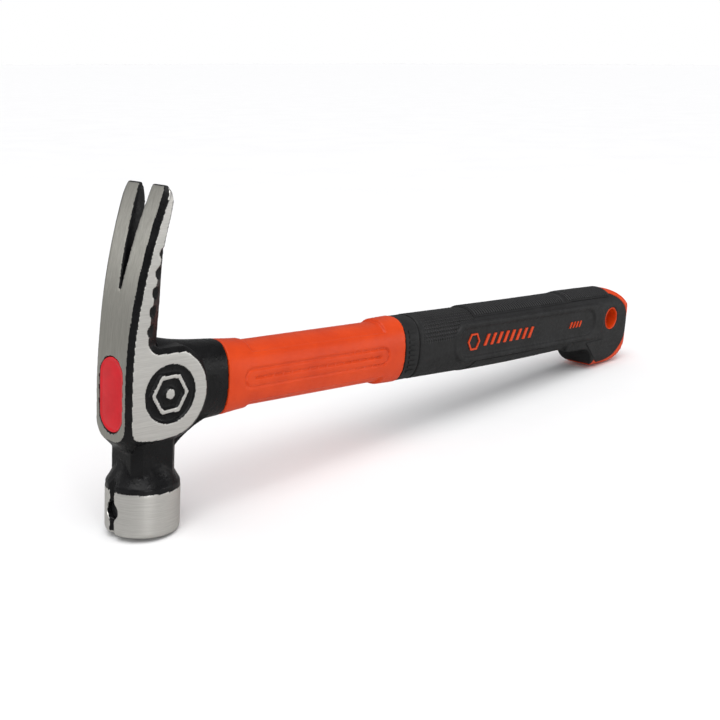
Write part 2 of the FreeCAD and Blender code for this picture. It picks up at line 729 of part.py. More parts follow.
def make_grip(jacket):
    start, band = size("jacket_end"), size("band_end")
    groove = size("band_groove")
    band_ring = loft("grip_band", [
        oval(start, size("band_width"), size("band_height")),
        oval(band, size("band_width"), size("band_height")),
    ])
    neck = loft("grip_groove", [
        oval(band - 0.5, size("band_width") - 1.6, size("band_height") - 1.6),
        oval(band + groove + 0.5, size("band_width") - 1.6, size("band_height") - 1.6),
    ])
    # station along the handle, width, height, height of the oval's middle
    stations = [
        (band + groove, size("band_width") + 0.2, size("band_height") + 0.4, 0.0),
        (172.0, 23.8, 31.9, -0.2),
        (215.0, size("grip_width"), size("grip_height"), -0.5),
        (260.0, size("grip_width"), size("grip_height"), -0.2),
        (size("grip_blend"), size("grip_width") - 0.4, size("grip_height") + 0.2, 0.5),
    ]
    grip = loft("grip_oval", [oval(*station) for station in stations])
    panel = prism("panel_pad", slot_in_y(-size("panel_face"), size("panel_start"),
                                         size("panel_end"), size("panel_half")),
                  (0, 1, 0), "2 * sizes.panel_face")
    solid = fuse("grip_solid", [band_ring, neck, grip, panel, butt_solid("butt_for_grip")])
    border = size("panel_border")
    pocket = prism("panel_pocket", slot_in_y(size("panel_face") - size("panel_depth"),
                                             size("panel_start") + border,
                                             size("panel_end") - 3 * border,
                                             size("panel_half") - 0.75 * border),
                   (0, 1, 0), 3.0)
    sunk = cut("grip_sunk", solid, mirrored_pair("panel_pockets", pocket))
    # the grip is moulded round the jacket, so it is hollow exactly where the jacket is
    room = feature("jacket_room", jacket.Shape.copy())
    core = core_prism("core_in_grip", size("jacket_end") - 1.0, "sizes.core_end - sizes.jacket_end + 1")
    bore = cylinder("grip_bore", "sizes.hang_lining_radius", f"{2 * WIDE}",
                    (size("hang_x"), -WIDE, size("hang_z")), (0, 1, 0))
    rim_zone = cut("rim_zone", rim_room("rim_behind", False),
                   prism("rim_core", butt_outline(size("rim_thickness")), (0, 1, 0), 2 * WIDE))
    tools = fuse("grip_hollow", [room, core, bore, rim_zone])
    return cut("grip_sleeve", sunk, tools)


def make_marks(name, side):
    """Plain orange marks on the floor of the side panel: a ring and two rows of slanted bars."""
    floor = size("panel_face") - size("panel_depth")
    y = floor if side > 0 else -floor - size("mark_thickness")
    ring_x, ring_outside, ring_inside = 190.5, 4.9, 3.9

    def six_sides(radius):
        corners = [math.radians(60 * k) for k in range(6)]
        return [(ring_x + radius * math.cos(a), y, radius * math.sin(a)) for a in corners]

    def bar(x, half_height, width):
        lean = 0.5 * half_height
        return Part.Face(polygon([
            (x - lean, y, -half_height), (x + width - lean, y, -half_height),
            (x + width + lean, y, half_height), (x + lean, y, half_height),
        ]))

    ring = Part.Face(polygon(six_sides(ring_outside))).cut(Part.Face(polygon(six_sides(ring_inside))))
    flats = [ring]
    flats += [bar(200.5 + 5.6 * index, 2.9, 2.0) for index in range(8)]
    flats += [bar(280.0 + 3.2 * index, 1.7, 1.1) for index in range(4)]
    return compound(name, [prism(f"{name}_{index}", flat, (0, 1, 0), "sizes.mark_thickness")
                           for index, flat in enumerate(flats, start=1)])


# ---------------------------------------------------------------- build

head = make_head()
plug = make_plug()
bond = make_bond()
magnet = cylinder("starter_magnet", "sizes.magnet_radius", "sizes.magnet_thickness",
                  (size("magnet_floor"), 0, size("magnet_level")), (-1, 0, 0))
core = core_prism("handle_core", size("plug_inner"), "sizes.core_end - sizes.plug_inner")
jacket = make_jacket()
doc.recompute()
grip = make_grip(jacket)
left_marks = make_marks("panel_marks_left", -1)
right_marks = make_marks("panel_marks_right", 1)
doc.recompute()

for item in doc.Objects:
    if "Invalid" in item.State or "Error" in item.State:
        raise RuntimeError(f"{item.Name} did not build: {item.State}")

# the nodes, each a separate physical piece; each one's label is the name of its file
nodes = [head, plug, bond, magnet, core, jacket, grip, left_marks, right_marks]
for node in nodes:
    node.Label = node.Name

# tip the tool into its resting stance, then put the origin at the bottom centre of its box
stance = Rotation(Vector(0, 1, 0), size("stance_angle"))
tipped = Part.makeCompound([node.Shape.copy() for node in nodes])
tipped.Placement = Placement(Vector(), stance)
bounds = tipped.optimalBoundingBox(False, False)
shift = Vector(-bounds.Center.x, -bounds.Center.y, -bounds.ZMin)
for node in nodes:
    node.Placement = Placement(shift, stance).multiply(node.Placement)
doc.recompute()

os.makedirs("parts", exist_ok=True)
for node in nodes:
    shape = node.Shape
    if "Invalid" in node.State or "Error" in node.State or shape.isNull() or not shape.isValid():
        raise RuntimeError(f"{node.Label} is not a valid solid")
    shape.exportStep(os.path.join("parts", f"{node.Label}.step"))
    print(f"{node.Label}: {len(shape.Solids)} solid(s), {shape.Volume / 1000:.2f} cm3")
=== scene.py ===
# %% [markdown]
# # A claw hammer, dressed over its CAD frame
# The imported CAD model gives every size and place. It is loaded first, as a fixed frame, and
# each piece below is either a CAD node with a better finish or a finer piece that stands for one.
# All lengths are in metres.

# %% Load the frame
import json
import math

import bpy
import numpy as np
from mathutils import Matrix, Vector


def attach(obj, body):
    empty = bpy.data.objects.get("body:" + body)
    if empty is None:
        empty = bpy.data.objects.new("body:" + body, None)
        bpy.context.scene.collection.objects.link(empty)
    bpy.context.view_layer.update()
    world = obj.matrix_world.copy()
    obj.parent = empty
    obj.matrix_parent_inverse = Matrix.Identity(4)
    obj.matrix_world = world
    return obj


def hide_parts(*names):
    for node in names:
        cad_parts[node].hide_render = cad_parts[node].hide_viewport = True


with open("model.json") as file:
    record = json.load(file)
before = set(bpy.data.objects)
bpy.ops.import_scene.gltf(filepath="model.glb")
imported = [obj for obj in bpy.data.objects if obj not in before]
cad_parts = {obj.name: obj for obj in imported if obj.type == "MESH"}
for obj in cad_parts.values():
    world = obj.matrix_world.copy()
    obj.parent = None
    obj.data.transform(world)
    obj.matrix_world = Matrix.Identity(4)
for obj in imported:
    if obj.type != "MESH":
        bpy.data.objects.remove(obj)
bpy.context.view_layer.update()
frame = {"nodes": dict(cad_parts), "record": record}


bpy.ops.object.select_all(action="DESELECT")
print("CAD nodes:", sorted(frame["nodes"]))

# %% [markdown]
# ## The tool's own axes
# A hammer is easiest to draw along its own axes: X along the handle, Z along the head. It rests
# tipped by a few degrees, on the rim of its face and on its butt hook. The striking face's mount
# in the record says how far it is tipped and where the axes cross, so one matrix carries a piece
# from the tool's axes to its place on the floor.

# %% Tool axes
MM = 0.001
FACE_BELOW = 55.92 * MM  # from the crossing of the axes down to the striking face

face_mount = next(m for m in frame["record"]["mounts"] if m["name"] == "striking_face")
down = Vector(face_mount["axis"])
stance = math.atan2(-down.x, -down.z)
crossing = Vector(face_mount["pos_m"]) - down * FACE_BELOW
tool_to_floor = Matrix.Translation(crossing) @ Matrix.Rotation(stance, 4, "Y")
floor_to_tool = tool_to_floor.inverted()
print(f"tipped by {math.degrees(stance):.2f} degrees, axes cross at {tuple(crossing)}")

# %% [markdown]
# ## Camera, floor and light
# A small product is shown on a pale sweep under large soft lights. The camera stands low at the
# head's side, so that the head comes forward and the handle runs away from it. A long lens keeps
# the head from looking swollen.

# %% Camera
CAMERA_PLACE = Vector((-0.3778, -0.3206, 0.1778))
CAMERA_TOWARDS = Vector((0.6916, 0.6659, -0.2797))
LENS = 51.73

bpy.ops.object.camera_add(location=CAMERA_PLACE)
camera = bpy.context.object
camera.rotation_euler = CAMERA_TOWARDS.to_track_quat("-Z", "Y").to_euler()
camera.data.lens = LENS
camera.data.clip_start = 0.01
bpy.context.scene.camera = camera
bpy.context.scene.view_settings.view_transform = "Standard"
print("camera at", tuple(round(v, 3) for v in camera.location))

# %% Floor
bpy.ops.object.select_all(action="DESELECT")
bpy.ops.mesh.primitive_plane_add(size=60.0)
floor = bpy.context.object
floor.name = "floor"
print("floor:", len(floor.data.polygons), "face")

# %% Lights
def soft_light(name, place, towards, size, power):
    """A rectangular soft box that faces a point and doesn't show itself."""
    bpy.ops.object.light_add(type="AREA", location=place)
    light = bpy.context.object
    light.name = name
    light.rotation_euler = (Vector(towards) - Vector(place)).to_track_quat("-Z", "Y").to_euler()
    light.data.shape = "RECTANGLE"
    light.data.size, light.data.size_y = size
    light.data.energy = power
    light.visible_camera = False
    print(f"{name}: {size[0]} by {size[1]} m, {power} W")


def wide_light(name, towards, spread_degrees, strength):
    """A very large, far panel: the same light on all of the floor, with soft shadows."""
    bpy.ops.object.light_add(type="SUN", location=(0, 0, 1.5))
    light = bpy.context.object
    light.name = name
    light.rotation_euler = Vector(towards).to_track_quat("-Z", "Y").to_euler()
    light.data.angle = math.radians(spread_degrees)
    light.data.energy = strength
    print(f"{name}: {spread_degrees} degrees wide, strength {strength}")


wide_light("overhead", (0.28, 0.30, -1.0), 60.0, 2.3)
soft_light("near_strip", (-0.42, -0.80, 0.17), (-0.16, 0.0, 0.03), (0.08, 0.32), 1.1)
soft_light("far_left", (-0.90, 0.72, 0.42), (-0.17, 0.0, 0.10), (0.5, 0.3), 0.8)
soft_light("low_right", (0.75, -0.85, 0.16), (-0.10, 0.0, 0.04), (1.0, 0.3), 1.7)

# %% World
def ramp_of_height(nodes, links, height, low, high):
    """A grey that goes from low at the horizon to high overhead."""
    ramp = nodes.new("ShaderNodeValToRGB")
    stops = ramp.color_ramp.elements
    stops[0].position, stops[0].color = 0.0, (low, low, low * 1.02, 1.0)
    stops[1].position, stops[1].color = 0.8, (high, high, high * 1.02, 1.0)
    links.new(height, ramp.inputs["Fac"])
    return ramp.outputs["Color"]


def make_world():
    """Pale light from all round; the camera sees white, and gloss sees a dimmer room."""
    world = bpy.data.worlds.new("studio")
    bpy.context.scene.world = world
    world.use_nodes = True
    nodes, links = world.node_tree.nodes, world.node_tree.links
    direction = nodes.new("ShaderNodeTexCoord")
    split = nodes.new("ShaderNodeSeparateXYZ")
    links.new(direction.outputs["Generated"], split.inputs[0])
    path = nodes.new("ShaderNodeLightPath")
    lighting = ramp_of_height(nodes, links, split.outputs["Z"], 0.36, 0.55)
    room = ramp_of_height(nodes, links, split.outputs["Z"], 0.16, 0.36)
    seen = nodes.new("ShaderNodeMix")
    seen.data_type = "RGBA"
    links.new(path.outputs["Is Glossy Ray"], seen.inputs[0])
    links.new(lighting, seen.inputs[6])
    links.new(room, seen.inputs[7])
    links.new(seen.outputs[2], nodes["Background"].inputs["Color"])
    backdrop = nodes.new("ShaderNodeBackground")
    backdrop.inputs["Color"].default_value = (1.0, 1.0, 1.0, 1.0)
    mix = nodes.new("ShaderNodeMixShader")
    links.new(path.outputs["Is Camera Ray"], mix.inputs[0])
    links.new(nodes["Background"].outputs[0], mix.inputs[1])
    links.new(backdrop.outputs[0], mix.inputs[2])
    links.new(mix.outputs[0], nodes["World Output"].inputs["Surface"])
    print("world: white backdrop, dimmer room for gloss")


make_world()

# %% [markdown]
# ## Helpers for the workshop
# An operator acts on everything that is selected, so each step starts by selecting one piece
# alone. A copy of a CAD node comes as loose triangles, so its doubled points are merged before
# anything else. A piece drawn along the tool's axes is laid on the floor by moving its mesh, which
# leaves its object at the origin.

# %% Workshop helpers
def only(piece):
    """Selects one piece alone and makes it active."""
    bpy.ops.object.select_all(action="DESELECT")
    piece.select_set(True)
    bpy.context.view_layer.objects.active = piece


def merge_doubles(piece, gap=0.001 * MM):
    only(piece)
    bpy.ops.object.mode_set(mode="EDIT")
    bpy.ops.mesh.select_all(action="SELECT")
    bpy.ops.mesh.remove_doubles(threshold=gap)
    bpy.ops.object.mode_set(mode="OBJECT")


def copy_of_node(node, name):
    """A merged copy of a CAD node, free of the frame, for a finer piece to start from."""
    source = frame["nodes"][node]
    piece = bpy.data.objects.new(name, source.data.copy())
    piece.data.name = name
    piece.data.materials.clear()
    bpy.context.scene.collection.objects.link(piece)
    merge_doubles(piece)
    return piece


def apply_modifier(piece, kind, **settings):
    """Adds a modifier with these settings and applies it."""
    only(piece)
    modifier = piece.modifiers.new(kind.lower(), kind)
    for key, value in settings.items():
        setattr(modifier, key, value)
    bpy.ops.object.modifier_apply(modifier=modifier.name)


def place_numbers(piece, matrix=floor_to_tool):
    """Where each point of a mesh is along the tool's axes, in millimetres."""
    flat = np.zeros(len(piece.data.vertices) * 3)
    piece.data.vertices.foreach_get("co", flat)
    turn = np.array(matrix.to_3x3())
    return (flat.reshape(-1, 3) @ turn.T + np.array(matrix.translation)) / MM


def normal_numbers(piece):
    """Which way each point of a mesh faces, along the tool's axes."""
    flat = np.zeros(len(piece.data.vertices) * 3, np.float32)
    piece.data.vertex_normals.foreach_get("vector", flat)
    return flat.reshape(-1, 3) @ np.array(floor_to_tool.to_3x3()).T


def lay_on_floor(piece):
    """Carries a piece drawn along the tool's axes to its place, with its object at the origin."""
    piece.data.transform(tool_to_floor @ piece.matrix_basis)
    piece.matrix_basis = Matrix.Identity(4)


def trim(piece, x_mm, keep):
    """Cuts a piece across the handle at x_mm, keeps the side "head" or "butt", and closes the cut."""
    only(piece)
    bpy.ops.object.mode_set(mode="EDIT")
    bpy.ops.mesh.select_all(action="SELECT")
    place = tool_to_floor @ Vector((x_mm * MM, 0, 0))
    along = tool_to_floor.to_3x3() @ Vector((1, 0, 0))
    bpy.ops.mesh.bisect(plane_co=place, plane_no=along, use_fill=True,
                        clear_outer=keep == "head", clear_inner=keep == "butt")
    bpy.ops.object.mode_set(mode="OBJECT")


def finish_piece(piece, material, slot, *replaced):
    """Gives a piece its material, hangs it on the frame and hides the nodes it stands for."""
    piece.data.materials.clear()
    piece.data.materials.append(material)
    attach(piece, "root")
    if replaced:
        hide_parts(*replaced)
    triangles = sum(len(face.vertices) - 2 for face in piece.data.polygons)
    print(f"{piece.name}: {triangles} triangles, finish {material.name}")


# %% [markdown]
# ## Shared finishes
# Real surfaces are never even. Three effects come back in nearly every finish of this tool: a fine
# grain, wide cloudy patches, and brushing in one direction. Each is built once as a node group
# that reads the tool's axes, and every material sets its own sizes.

# %% Helpers for nodes
def tool_place(nodes, links, cycles=(1.0, 1.0, 1.0)):
    """The place on the tool in its own axes, as so many cycles for each millimetre."""
    coordinates = nodes.new("ShaderNodeTexCoord")
    mapping = nodes.new("ShaderNodeMapping")
    mapping.vector_type = "TEXTURE"
    mapping.inputs["Location"].default_value = crossing
    mapping.inputs["Rotation"].default_value = (0.0, stance, 0.0)
    mapping.inputs["Scale"].default_value = [MM / c for c in cycles]
    links.new(coordinates.outputs["Object"], mapping.inputs["Vector"])
    return mapping.outputs["Vector"]


def new_group(name, inputs, outputs):
    """An empty shader node group with named number sockets."""
    tree = bpy.data.node_groups.new(name, "ShaderNodeTree")
    for socket, value in inputs.items():
        made = tree.interface.new_socket(socket, in_out="INPUT", socket_type="NodeSocketFloat")
        made.default_value = value
    for socket in outputs:
        tree.interface.new_socket(socket, in_out="OUTPUT", socket_type="NodeSocketFloat")
    return tree, tree.nodes.new("NodeGroupInput"), tree.nodes.new("NodeGroupOutput")


def math_node(nodes, links, operation, first, second=None, clamp=False):
    """A Math node; each value is a number or a socket."""
    node = nodes.new("ShaderNodeMath")
    node.operation = operation
    node.use_clamp = clamp
    for index, value in enumerate((first, second)):
        if value is None:
            continue
        if isinstance(value, (int, float)):
            node.inputs[index].default_value = value
        else:
            links.new(value, node.inputs[index])
    return node.outputs[0]


def mix_colours(nodes, links, factor, first, second):
    """A colour between two colours; each is a socket or a plain colour."""
    node = nodes.new("ShaderNodeMix")
    node.data_type = "RGBA"
    links.new(factor, node.inputs["Factor"])
    for key, value in (("A", first), ("B", second)):
        socket = next(s for s in node.inputs if s.name == key and s.type == "RGBA")
        if isinstance(value, tuple):
            socket.default_value = (*value, 1.0)
        else:
            links.new(value, socket)
    return next(s for s in node.outputs if s.type == "RGBA")


def between(nodes, links, value, low, high, to_low=0.0, to_high=1.0):
    """Spreads the stretch from low to high over the stretch from to_low to to_high."""
    node = nodes.new("ShaderNodeMapRange")
    links.new(value, node.inputs["Value"])
    for key, number in zip(("From Min", "From Max", "To Min", "To Max"),
                           (low, high, to_low, to_high)):
        if isinstance(number, (int, float)):
            node.inputs[key].default_value = number
        else:
            links.new(number, node.inputs[key])
    return node.outputs["Result"]


# %% Group: fine grain
def build_grain():
    tree, inputs, outputs = new_group("fine_grain", {"Size": 4.0, "Detail": 3.0}, ["Grain"])
    noise = tree.nodes.new("ShaderNodeTexNoise")
    tree.links.new(tool_place(tree.nodes, tree.links), noise.inputs["Vector"])
    tree.links.new(inputs.outputs["Size"], noise.inputs["Scale"])
    tree.links.new(inputs.outputs["Detail"], noise.inputs["Detail"])
    tree.links.new(noise.outputs["Fac"], outputs.inputs["Grain"])
    return tree


grain_group = build_grain()
print("group:", grain_group.name)


# %% Group: cloudy patches
def build_clouds():
    tree, inputs, outputs = new_group("clouds", {"Size": 0.05, "Low": 0.4, "High": 0.6}, ["Patch"])
    noise = tree.nodes.new("ShaderNodeTexNoise")
    noise.inputs["Detail"].default_value = 4.0
    noise.inputs["Roughness"].default_value = 0.6
    tree.links.new(tool_place(tree.nodes, tree.links), noise.inputs["Vector"])
    tree.links.new(inputs.outputs["Size"], noise.inputs["Scale"])
    spread = between(tree.nodes, tree.links, noise.outputs["Fac"], 0.35, 0.65,
                     inputs.outputs["Low"], inputs.outputs["High"])
    tree.links.new(spread, outputs.inputs["Patch"])
    return tree


cloud_group = build_clouds()
print("group:", cloud_group.name)


# %% Group: brushing
def build_brushing():
    tree, inputs, outputs = new_group(
        "brushing", {"Along X": 1.0, "Along Y": 1.0, "Along Z": 1.0}, ["Height", "Streak"])
    stretch = tree.nodes.new("ShaderNodeCombineXYZ")
    for axis in "XYZ":
        tree.links.new(inputs.outputs[f"Along {axis}"], stretch.inputs[axis])
    product = tree.nodes.new("ShaderNodeVectorMath")
    product.operation = "MULTIPLY"
    tree.links.new(tool_place(tree.nodes, tree.links), product.inputs[0])
    tree.links.new(stretch.outputs[0], product.inputs[1])
    fine = tree.nodes.new("ShaderNodeTexNoise")
    fine.inputs["Scale"].default_value = 1.0
    fine.inputs["Detail"].default_value = 5.0
    fine.inputs["Roughness"].default_value = 0.65
    tree.links.new(product.outputs[0], fine.inputs["Vector"])
    coarse = tree.nodes.new("ShaderNodeTexNoise")
    coarse.inputs["Scale"].default_value = 0.3
    coarse.inputs["Detail"].default_value = 2.0
    tree.links.new(product.outputs[0], coarse.inputs["Vector"])
    tree.links.new(fine.outputs["Fac"], outputs.inputs["Height"])
    both = math_node(tree.nodes, tree.links, "MULTIPLY", fine.outputs["Fac"], coarse.outputs["Fac"])
    streak = between(tree.nodes, tree.links, both, 0.12, 0.38)
    tree.links.new(streak, outputs.inputs["Streak"])
    return tree


brushing_group = build_brushing()
print("group:", brushing_group.name)


# %% Helpers for materials
def new_material(name, metallic=0.0, **plain):
    """A material with its Principled shader; plain values go straight on the shader's sockets."""
    material = bpy.data.materials.new(name)
    material.use_nodes = True
    shader = material.node_tree.nodes["Principled BSDF"]
    shader.inputs["Metallic"].default_value = metallic
    for key, value in plain.items():
        shader.inputs[key.replace("_", " ")].default_value = value
    return material, material.node_tree.nodes, material.node_tree.links, shader


def use_group(nodes, tree, **values):
    """A group placed in a material with its own values."""
    node = nodes.new("ShaderNodeGroup")
    node.node_tree = tree
    for key, value in values.items():
        node.inputs[key.replace("_", " ")].default_value = value
    return node


def add_bump(nodes, links, shader, height, depth_mm, strength=1.0):
    """Small relief: height 0 to 1 stands for depth_mm."""
    bump = nodes.new("ShaderNodeBump")
    bump.inputs["Strength"].default_value = strength
    bump.inputs["Distance"].default_value = depth_mm * MM
    links.new(height, bump.inputs["Height"])
    links.new(bump.outputs["Normal"], shader.inputs["Normal"])
    return bump


# %% [markdown]
# ## Finish of the head
# The head is forged, dipped in black paint and then ground bright on its outer face, its cheeks,
# its claws and its bell. One material holds both: a colour attribute on the mesh says where each
# grinding is, noise frays the edge of the paint, and each grinding has its own direction.

# %% Material: forged head
def make_head_material():
    material, nodes, links, shader = new_material("forged_head", Specular_IOR_Level=0.22)
    ground = nodes.new("ShaderNodeAttribute")
    ground.attribute_name = "ground"
    split = nodes.new("ShaderNodeSeparateColor")
    links.new(ground.outputs["Color"], split.inputs[0])
    outer, cheek, bell = (split.outputs[i] for i in range(3))
    both = math_node(nodes, links, "ADD", outer, cheek)
    any_ground = math_node(nodes, links, "ADD", both, bell)

    fray = use_group(nodes, grain_group, Size=2.2, Detail=4.0)
    frayed = math_node(nodes, links, "ADD", any_ground,
                       between(nodes, links, fray.outputs["Grain"], 0.3, 0.7, -0.2, 0.2))
    bright = between(nodes, links, frayed, 0.42, 0.58)

    across = use_group(nodes, brushing_group, Along_X=0.3, Along_Y=4.0, Along_Z=11.0)
    along = use_group(nodes, brushing_group, Along_X=3.0, Along_Y=10.0, Along_Z=0.3)
    turned = use_group(nodes, brushing_group, Along_X=0.25, Along_Y=0.25, Along_Z=12.0)

    def chosen(output):
        total = None
        for mask, group in ((outer, along), (cheek, across), (bell, turned)):
            part = math_node(nodes, links, "MULTIPLY", mask, group.outputs[output])
            total = part if total is None else math_node(nodes, links, "ADD", total, part)
        return total

    streak = chosen("Streak")
    # one ground steel in two brightnesses: the outer face is painted darker (painted shade) and the cheeks
    # and bell lighter (painted light)
    shaded_outer_steel = mix_colours(nodes, links, streak, (0.40, 0.39, 0.35), (0.52, 0.51, 0.465))
    lit_side_steel = mix_colours(nodes, links, streak, (0.70, 0.685, 0.65), (0.84, 0.825, 0.79))
    steel = mix_colours(nodes, links, outer, lit_side_steel, shaded_outer_steel)
    clouds = use_group(nodes, cloud_group, Size=0.09, Low=0.0, High=1.0)
    paint = mix_colours(nodes, links, clouds.outputs["Patch"],
                        (0.002, 0.002, 0.0022), (0.006, 0.006, 0.0065))
    links.new(mix_colours(nodes, links, bright, paint, steel), shader.inputs["Base Color"])
    links.new(bright, shader.inputs["Metallic"])

    paint_rough = use_group(nodes, cloud_group, Size=0.35, Low=0.24, High=0.40)
    steel_rough = between(nodes, links, streak, 0.0, 1.0, 0.46, 0.32)
    rough = nodes.new("ShaderNodeMix")
    links.new(bright, rough.inputs[0])
    links.new(paint_rough.outputs["Patch"], rough.inputs[2])
    links.new(steel_rough, rough.inputs[3])
    links.new(rough.outputs[0], shader.inputs["Roughness"])

    scale_marks = use_group(nodes, grain_group, Size=0.8, Detail=5.0)
    steel_height = between(nodes, links, chosen("Height"), 0.0, 1.0, 0.0, 0.10)
    height = nodes.new("ShaderNodeMix")
    links.new(bright, height.inputs[0])
    links.new(scale_marks.outputs["Grain"], height.inputs[2])
    links.new(steel_height, height.inputs[3])
    add_bump(nodes, links, shader, height.outputs[0], 0.16)
    return material


head_finish = make_head_material()
print("material:", head_finish.name)

# %% [markdown]
# ## Plastic, rubber and resin
# The orange jacket is hard injection-moulded plastic with a slight sheen. The grip is soft moulded
# rubber, nearly matt, with a fine diamond pattern pressed in where the hand's edge lies. The plug
# is cast resin, the glossiest surface on the tool.

# %% Material: orange plastic
def make_orange():
    material, nodes, links, shader = new_material("orange_moulding", Specular_IOR_Level=0.26)
    clouds = use_group(nodes, cloud_group, Size=0.06, Low=0.0, High=1.0)
    colour = mix_colours(nodes, links, clouds.outputs["Patch"], (0.55, 0.040, 0.003), (0.63, 0.052, 0.004))
    links.new(colour, shader.inputs["Base Color"])
    rough = use_group(nodes, cloud_group, Size=0.5, Low=0.34, High=0.46)
    links.new(rough.outputs["Patch"], shader.inputs["Roughness"])
    grain = use_group(nodes, grain_group, Size=3.0, Detail=2.0)
    add_bump(nodes, links, shader, grain.outputs["Grain"], 0.03)
    return material


orange_finish = make_orange()
print("material:", orange_finish.name)


# %% Material: grip rubber
DIAMOND_PITCH = 3.4  # millimetres along the handle for one full wave


def make_rubber():
    material, nodes, links, shader = new_material("grip_rubber", Specular_IOR_Level=0.34)
    clouds = use_group(nodes, cloud_group, Size=0.08, Low=0.0, High=1.0)
    colour = mix_colours(nodes, links, clouds.outputs["Patch"],
                         (0.007, 0.007, 0.0072), (0.013, 0.013, 0.0135))
    rough = use_group(nodes, cloud_group, Size=0.6, Low=0.50, High=0.64)
    links.new(rough.outputs["Patch"], shader.inputs["Roughness"])

    # pressed diamonds: two crossing rows of waves, where the attribute "diamonds" allows them
    diamond = nodes.new("ShaderNodeAttribute")
    diamond.attribute_name = "diamonds"
    pattern = nodes.new("ShaderNodeSeparateColor")
    links.new(diamond.outputs["Color"], pattern.inputs[0])
    place = nodes.new("ShaderNodeSeparateXYZ")
    links.new(tool_place(nodes, links), place.inputs[0])
    around = between(nodes, links, pattern.outputs[1], 0.0, 1.0, 0.0, 100.0)
    waves = []
    for sign in (1.0, -1.0):
        turned = math_node(nodes, links, "MULTIPLY", around, sign)
        line = math_node(nodes, links, "ADD", place.outputs["X"], turned)
        angle = math_node(nodes, links, "MULTIPLY", line, 2 * math.pi / DIAMOND_PITCH)
        waves.append(math_node(nodes, links, "SINE", angle))
    crossed = math_node(nodes, links, "MULTIPLY", waves[0], waves[1])
    relief = math_node(nodes, links, "MULTIPLY", crossed, pattern.outputs[0])
    # the diamond crests, and the rib tops through the attribute's blue, are painted lighter than the rubber:
    # a painted highlight on the crests
    diamond_highlight = math_node(nodes, links, "MULTIPLY", relief, 0.6)
    crests = math_node(nodes, links, "ADD", diamond_highlight, pattern.outputs[2])
    crest_highlight = between(nodes, links, crests, 0.0, 1.0)
    links.new(mix_colours(nodes, links, crest_highlight, colour, (0.040, 0.040, 0.041)), shader.inputs["Base Color"])
    grain = use_group(nodes, grain_group, Size=5.0, Detail=2.0)
    fine = math_node(nodes, links, "MULTIPLY", grain.outputs["Grain"], 0.06)
    add_bump(nodes, links, shader, math_node(nodes, links, "ADD", relief, fine), 0.55)
    return material


rubber_finish = make_rubber()
print("material:", rubber_finish.name)


# %% Material: cast resin of the plug
def make_resin():
    material, nodes, links, shader = new_material(
        "red_resin", Specular_IOR_Level=0.25, Coat_Weight=0.25, Coat_Roughness=0.03)
    clouds = use_group(nodes, cloud_group, Size=0.12, Low=0.0, High=1.0)
    colour = mix_colours(nodes, links, clouds.outputs["Patch"], (0.48, 0.004, 0.010), (0.58, 0.006, 0.014))
    links.new(colour, shader.inputs["Base Color"])
    rough = use_group(nodes, cloud_group, Size=0.4, Low=0.12, High=0.22)
    links.new(rough.outputs["Patch"], shader.inputs["Roughness"])
    grain = use_group(nodes, grain_group, Size=0.25, Detail=1.0)
    add_bump(nodes, links, shader, grain.outputs["Grain"], 0.12)
    return material


resin_finish = make_resin()
print("material:", resin_finish.name)


# %% Materials: hidden pieces
def make_hidden(name, dark, light, metallic, rough_low, rough_high, cycles):
    """A finish for a piece inside the tool: streaks in one direction over an even colour."""
    material, nodes, links, shader = new_material(name, metallic=metallic)
    streaks = use_group(nodes, brushing_group, Along_X=cycles[0], Along_Y=cycles[1], Along_Z=cycles[2])
    links.new(mix_colours(nodes, links, streaks.outputs["Streak"], dark, light), shader.inputs["Base Color"])
    rough = between(nodes, links, streaks.outputs["Streak"], 0.0, 1.0, rough_high, rough_low)
    links.new(rough, shader.inputs["Roughness"])
    add_bump(nodes, links, shader, streaks.outputs["Height"], 0.05)
    return material


fibre_finish = make_hidden("glass_fibre", (0.42, 0.38, 0.22), (0.62, 0.58, 0.40), 0.0, 0.35, 0.55,
                           (0.05, 3.0, 3.0))
bond_finish = make_hidden("eye_bond", (0.50, 0.43, 0.28), (0.66, 0.60, 0.44), 0.0, 0.45, 0.6,
                          (0.3, 0.3, 0.3))
magnet_finish = make_hidden("magnet_black", (0.010, 0.010, 0.011), (0.03, 0.03, 0.032), 0.6, 0.3, 0.5,
                            (2.0, 2.0, 2.0))


# %% Material: pale floor
def make_floor_finish():
    material, nodes, links, shader = new_material("pale_floor")
    clouds = use_group(nodes, cloud_group, Size=0.01, Low=0.0, High=1.0)
    colour = mix_colours(nodes, links, clouds.outputs["Patch"], (0.86, 0.86, 0.86), (0.88, 0.88, 0.88))
    # the floor is darker only in glossy rays: painted shade in the tool's reflections of the floor
    path = nodes.new("ShaderNodeLightPath")
    dimmed = mix_colours(nodes, links, path.outputs["Is Glossy Ray"], colour, (0.40, 0.40, 0.392))
    links.new(dimmed, shader.inputs["Base Color"])
    shader.inputs["Roughness"].default_value = 0.75
    shader.inputs["Specular IOR Level"].default_value = 0.1
    grain = use_group(nodes, grain_group, Size=0.8, Detail=2.0)
    add_bump(nodes, links, shader, grain.outputs["Grain"], 0.02)
    return material


floor.data.materials.append(make_floor_finish())
print("material: pale_floor")

# %% [markdown]
# ## Hammer head
# The CAD head has the right shape but knife-sharp edges. A forging has soft ones, and even a
# ground edge is broken by a fraction of a millimetre. A copy is remeshed in half-millimetre
# voxels, which welds the many cut faces into one even skin, and is then smoothed a little.

# %% Head: soften the forging
head = copy_of_node("hammer_head", "forged_hammer_head")
apply_modifier(head, "REMESH", mode="VOXEL", voxel_size=0.47 * MM, adaptivity=0.0, use_smooth_shade=True)
apply_modifier(head, "SMOOTH", factor=0.5, iterations=3)
print("head:", len(head.data.polygons), "faces")

# %% [markdown]
# The ground faces are found by place and by the way they face: the outer face looks away from the
# handle, the cheeks look sideways and stand furthest out, and the bell is the widest turned part.
# Their masks go into the red, green and blue of one attribute.

